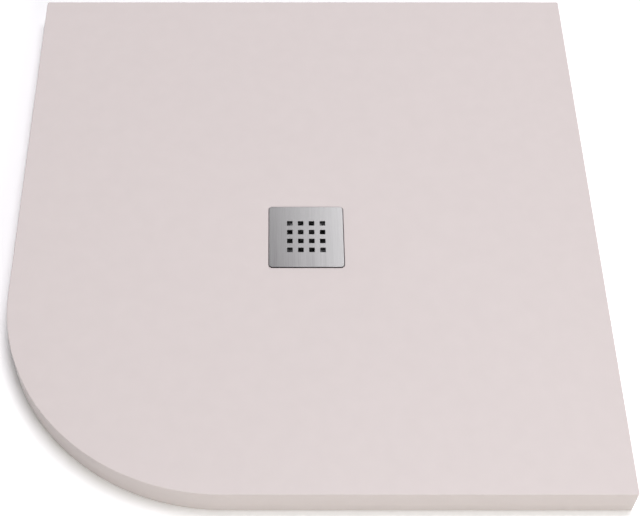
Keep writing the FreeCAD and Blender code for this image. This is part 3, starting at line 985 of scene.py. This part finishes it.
@dataclass
class ClampFlange(Assembly):
    """Steel flange, its four screws, and the rubber rings above and below the tray's web. Sizes in millimetres."""

    seat_radius: float = 34.5
    seat_depth: float = 1.2
    bore_radius: float = 32.5
    skirt_wall: float = 2.0
    thickness: float = 3.0
    screw_circle: float = 39.5
    screw_count: int = 4
    first_screw: float = 45.0
    easing: float = 0.3
    edge_round: float = 0.8
    hole_radius: float = 2.2
    hole_share: float = 0.98          # share of a hole's radius that its rounding takes
    hole_segments: int = 6
    shank_radius: float = 2.0
    head_radius: float = 4.0
    recess_length: float = 4.6
    recess_width: float = 0.9
    recess_depth: float = 1.3
    screw_easing: float = 0.15
    tip_round: float = 0.5
    head_round: float = 0.7
    screw_steps: int = 48
    thread_pitch: float = 0.7
    thread_depth: float = 0.35
    thread_base: float = 0.64
    thread_start: float = 0.6
    thread_sunk: float = 1.3          # depth of the ridge's foot, in thread depths
    thread_steps: int = 24
    upper_ring_width: float = 10.5
    lower_ring_width: float = 11.5
    rib_width: float = 2.0
    groove_depth: float = 0.25
    groove_slope: float = 0.5
    ring_easing: float = 0.2

    def build(self) -> None:
        """Build the flange, the screws and the rings."""
        low, high = box_of("clamp_flange")
        radius = (high.x - low.x) / 2
        under = high.z - self.thickness
        skirt = self.bore_radius + self.skirt_wall
        flange = lathe("flange", [
            (self.bore_radius, low.z), (skirt, low.z), (skirt, under), (radius, under), (radius, high.z),
            (self.seat_radius, high.z), (self.seat_radius, high.z - self.seat_depth),
            (self.bore_radius, high.z - self.seat_depth),
        ], self.easing, {(radius, high.z): self.edge_round})
        reach = Vector((self.hole_radius, self.hole_radius, OVERSHOOT))
        hole = block("hole", from_axis(self.screw_circle, 0, under) - reach,
                     from_axis(self.screw_circle, 0, high.z) + reach)
        pick(hole, "EDGE", lambda point: abs(point.z - (under + high.z) / 2) < NEAR)
        round_off(self.hole_share * self.hole_radius, self.hole_segments, "EDGES")
        combine(flange, ring_of(hole, self.screw_count, self.first_screw), Combine.CUT)
        self.place(flange, "plain_stainless", "clamp_flange")
        # The screws take the near-black steel: painted shade under the cover.
        self.place(ring_of(self.screw(high.z), self.screw_count, self.first_screw), "plain_stainless",
                   "flange_screws", finish="blackened_screw_steel")
        for name, node, width in (("upper_ring", "flange_gasket", self.upper_ring_width),
                                  ("lower_ring", "collar_gasket", self.lower_ring_width)):
            self.place(self.rubber_ring(name, node, width), "black_rubber", node)

    def screw(self, seat: float) -> Piece:
        """Turn one screw, cut its cross recess and stand it at its place.

        Args:
            seat: Height of the flange's top.

        Returns:
            The screw at the first hole, before the ring of screws is turned.
        """
        tip, top = heights_of("flange_screws")
        root = self.shank_radius - self.thread_depth
        screw = lathe("screw", [
            (0, tip), (root, tip), (root, seat), (self.head_radius, seat), (self.head_radius, top), (0, top),
        ], self.screw_easing, {(root, tip): self.tip_round, (self.head_radius, top): self.head_round},
            self.screw_steps)
        for half_length, half_width in ((self.recess_length / 2, self.recess_width / 2),
                                        (self.recess_width / 2, self.recess_length / 2)):
            slot = block("recess", from_axis(-half_length, -half_width, top - self.recess_depth),
                         from_axis(half_length, half_width, top + OVERSHOOT))
            combine(screw, slot, Combine.CUT)
        screw = join("screw", [screw, self.thread(tip + self.thread_start, seat)])
        edit_all(screw)
        bpy.ops.transform.translate(value=(self.screw_circle * MILLIMETRE, 0, 0))
        leave_edit()
        screw.name = "flange_screw_set"
        return screw

    def thread(self, start: float, end: float) -> Piece:
        """Thread of a screw: one triangular ridge wound up the shank and closed at both ends.

        Args:
            start: Height where the ridge starts.
            end: Height that it stays below.

        Returns:
            The ridge, its foot sunk into the shank.
        """
        foot = self.shank_radius - self.thread_sunk * self.thread_depth
        ridge = draw_outline("thread", [Vector((radius, 0, start + rise)) * MILLIMETRE for radius, rise in (
            (foot, 0), (self.shank_radius, self.thread_base / 2), (foot, self.thread_base))])
        turns = int((end - start) / self.thread_pitch) - 1
        apply_modifier(ridge, "SCREW", axis="Z", screw_offset=self.thread_pitch * MILLIMETRE, iterations=turns,
                       steps=self.thread_steps, render_steps=self.thread_steps)
        edit_all(ridge)
        bpy.ops.mesh.fill_holes(sides=3)
        bpy.ops.mesh.select_all(action="SELECT")
        bpy.ops.transform.translate(value=drain_axis())
        close_mesh(ridge)
        return ridge

    def rubber_ring(self, name: str, node: str, width: float) -> Piece:
        """Rubber ring with two sealing ribs on its upper side, pressed nearly flat.

        Args:
            name: Name of the piece.
            node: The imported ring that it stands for.
            width: Width of the ring from its bore to its edge.

        Returns:
            The ring.
        """
        low, high = box_of(node)
        outer = (high.x - low.x) / 2
        inner = outer - width
        bed = high.z - self.groove_depth
        far = self.rib_width + self.groove_slope
        return lathe(name, [
            (inner, low.z), (outer, low.z), (outer, high.z), (outer - self.rib_width, high.z),
            (outer - far, bed), (inner + far, bed), (inner + self.rib_width, high.z), (inner, high.z),
        ], self.ring_easing)


@dataclass
class WasteBody(Assembly):
    """Cup, outlet with its standpipe, seal and the ring that holds the seal. Sizes in millimetres."""

    socket_radius: float = 20.3
    seat_radius: float = 23.8
    outlet_radius: float = 25.8
    socket_wall: float = 2.2
    seat_height: float = 7.0
    shoulder: float = 2.0
    socket_depth: float = 16.0
    flange_width: float = 3.0
    flange_thickness: float = 1.5
    cup_floor: float = 3.0
    pipe_radius: float = 19.0
    bore_radius: float = 17.0
    seal_waist: float = 1.2
    lip_count: int = 3
    lip_depth: float = 0.5
    outlet_easing: float = 0.25
    rim_round: float = 0.8
    seal_easing: float = 0.12
    ring_easing: float = 0.3
    ring_round: float = 0.9

    def build(self) -> None:
        """Build the waste's moulded parts."""
        self.place(copy_of_node("cup", "waste_body"), "grey_plastic", "waste_body")
        self.place(self.outlet(), "grey_plastic", "outlet_standpipe")
        self.place(self.seal(), "black_rubber", "outlet_seal")
        self.place(self.holding_ring(), "grey_plastic", "seal_retainer")

    def outlet(self) -> Piece:
        """Turn the outlet: pipe socket below, standpipe above.

        Returns:
            The outlet.
        """
        base, rim = heights_of("outlet_standpipe")
        floor = base + self.cup_floor
        wide = self.outlet_radius + self.flange_width
        seat, socket = base + self.seat_height, base + self.socket_depth
        outer = self.socket_radius + self.socket_wall
        return lathe("outlet", [
            (self.seat_radius, base), (self.outlet_radius, base), (self.outlet_radius, floor), (wide, floor),
            (wide, floor + self.flange_thickness), (self.outlet_radius, floor + self.flange_thickness),
            (self.outlet_radius, seat + self.shoulder), (outer, seat + self.shoulder), (outer, socket),
            (self.pipe_radius, socket + self.shoulder), (self.pipe_radius, rim), (self.bore_radius, rim),
            (self.bore_radius, socket), (self.socket_radius, socket), (self.socket_radius, seat),
            (self.seat_radius, seat),
        ], self.outlet_easing, {(radius, rim): self.rim_round for radius in (self.bore_radius, self.pipe_radius)})

    def seal(self) -> Piece:
        """Turn the lip seal, waisted at its back, with its lips towards the pipe.

        Returns:
            The seal.
        """
        low, high = heights_of("outlet_seal")
        lips = []
        step = (high - low) / self.lip_count
        for index in range(self.lip_count, 0, -1):
            level = low + step * index
            lips += [(self.socket_radius, level), (self.socket_radius + self.lip_depth, level - step / 2)]
        return lathe("pipe_seal", [
            (self.socket_radius, low), (self.seat_radius, low), (self.seat_radius - self.seal_waist, (low + high) / 2),
            (self.seat_radius, high), *lips,
        ], self.seal_easing)

    def holding_ring(self) -> Piece:
        """Turn the ring under the seal.

        Returns:
            The ring.
        """
        low, high = heights_of("seal_retainer")
        return lathe("seal_ring", [
            (self.socket_radius, low), (self.seat_radius, low), (self.seat_radius, high), (self.socket_radius, high),
        ], self.ring_easing, {(self.socket_radius, low): self.ring_round})


@dataclass
class Lamp:
    """One soft rectangular lamp aimed at the tray."""

    name: str
    azimuth: float          # degrees from the front, to the tray's right
    height: float           # degrees above the floor
    level: float            # light it gives to a face turned to it, where the world gives 1
    width: float
    depth: float
    tint: Colour
    distance: float = 8.0
    aim: tuple[float, float, float] = (0.0, 0.0, 0.0)

    def hang(self) -> None:
        """Create the lamp."""
        around, up = math.radians(self.azimuth), math.radians(self.height)
        away = Vector((math.sin(around) * math.cos(up), -math.cos(around) * math.cos(up), math.sin(up)))
        data = bpy.data.lights.new(self.name, "AREA")
        data.shape = "RECTANGLE"
        data.size = self.width
        data.size_y = self.depth
        data.color = self.tint
        data.energy = self.level * math.pi * math.pi * self.distance ** 2
        lamp = bpy.data.objects.new(self.name, data)
        lamp.location = Vector(self.aim) + away * self.distance
        lamp.rotation_euler = away.to_track_quat("Z", "Y").to_euler()
        bpy.context.scene.collection.objects.link(lamp)


@dataclass
class Studio:
    """Plain pale floor, pale surroundings, soft lamps and the camera at the photograph's angle. In metres."""

    floor_half: float = 2.2
    floor_colour: Colour = (0.77, 0.76, 0.745)
    floor_seen: Colour = (1.24, 1.24, 1.26)
    surround: Colour = (0.93, 0.92535, 0.89745)    # light of the surroundings at the horizon
    surround_top: float = 0.75    # height, as the sine of its angle, at which that light has faded out
    camera_place: tuple[float, float, float] = (-0.0460, -1.2959, 1.7662)
    camera_tilt: float = 35.344
    lens: float = 77.29
    film_width: float = 36.0
    shift_right: float = 0.0678
    lamps: tuple[Lamp, ...] = (
        Lamp("back_lamp", 140.0, 77.0, 0.70, 4.0, 4.0, (1.0, 0.983, 1.01)),
        Lamp("front_right_lamp", 33.0, 28.0, 0.37, 4.0, 3.2, (1.0, 1.0, 0.905)),
    )

    def build(self) -> None:
        """Build the studio."""
        self.lay_floor()
        self.surround_with_light()
        for lamp in self.lamps:
            lamp.hang()
        self.set_camera()
        bpy.context.scene.view_settings.view_transform = "Standard"

    def lay_floor(self) -> None:
        """Lay the floor: pale where light bounces off it, white to the eye except in the tray's shadow."""
        bpy.ops.mesh.primitive_plane_add(size=2 * self.floor_half)
        floor = bpy.context.object
        floor.name = "studio_floor"
        graph = Graph.of_material("studio_floor")
        matt = graph.node("ShaderNodeBsdfDiffuse")
        graph.put(matt.inputs["Color"], graph.blend(graph.seen_by_eye(), self.floor_colour, self.floor_seen))
        graph.link(matt.outputs["BSDF"], graph.tree.nodes["Material Output"].inputs["Surface"])
        graph.tree.nodes.remove(graph.shader)
        floor.data.materials.append(graph.owner)

    def surround_with_light(self) -> None:
        """Give the world its light, strongest at the horizon, and let the eye see it white."""
        world = bpy.data.worlds.new("studio_world")
        bpy.context.scene.world = world
        graph = Graph(world, "Background")
        split = graph.node("ShaderNodeSeparateXYZ")
        graph.link(graph.node("ShaderNodeTexCoord").outputs["Generated"], split.inputs["Vector"])
        fall = graph.spread(split.outputs["Z"], 1.0, 0.0, 0.0, self.surround_top, "SMOOTHSTEP")
        glow = graph.blend(fall, BLACK, self.surround)
        graph.set("Color", graph.blend(graph.seen_by_eye(), glow, WHITE))

    def set_camera(self) -> None:
        """Set the camera at the photograph's angle."""
        data = bpy.data.cameras.new("studio_camera")
        data.lens = self.lens
        data.sensor_width = self.film_width
        data.shift_x = self.shift_right
        camera = bpy.data.objects.new("studio_camera", data)
        camera.location = self.camera_place
        camera.rotation_euler = (math.radians(self.camera_tilt), 0.0, 0.0)
        bpy.context.scene.collection.objects.link(camera)
        bpy.context.scene.camera = camera


def main() -> None:
    """Build the looks piece by piece."""
    finishes = dress()
    for assembly in (Casting, DrainCover, StrainerBasket, TrapBell, ClampFlange, WasteBody):
        log.info("building %s", assembly.__name__)
        assembly(finishes).build()
    Studio().build()


if __name__ == "__main__":
    logging.basicConfig(level=logging.INFO, format="%(message)s")
    main()
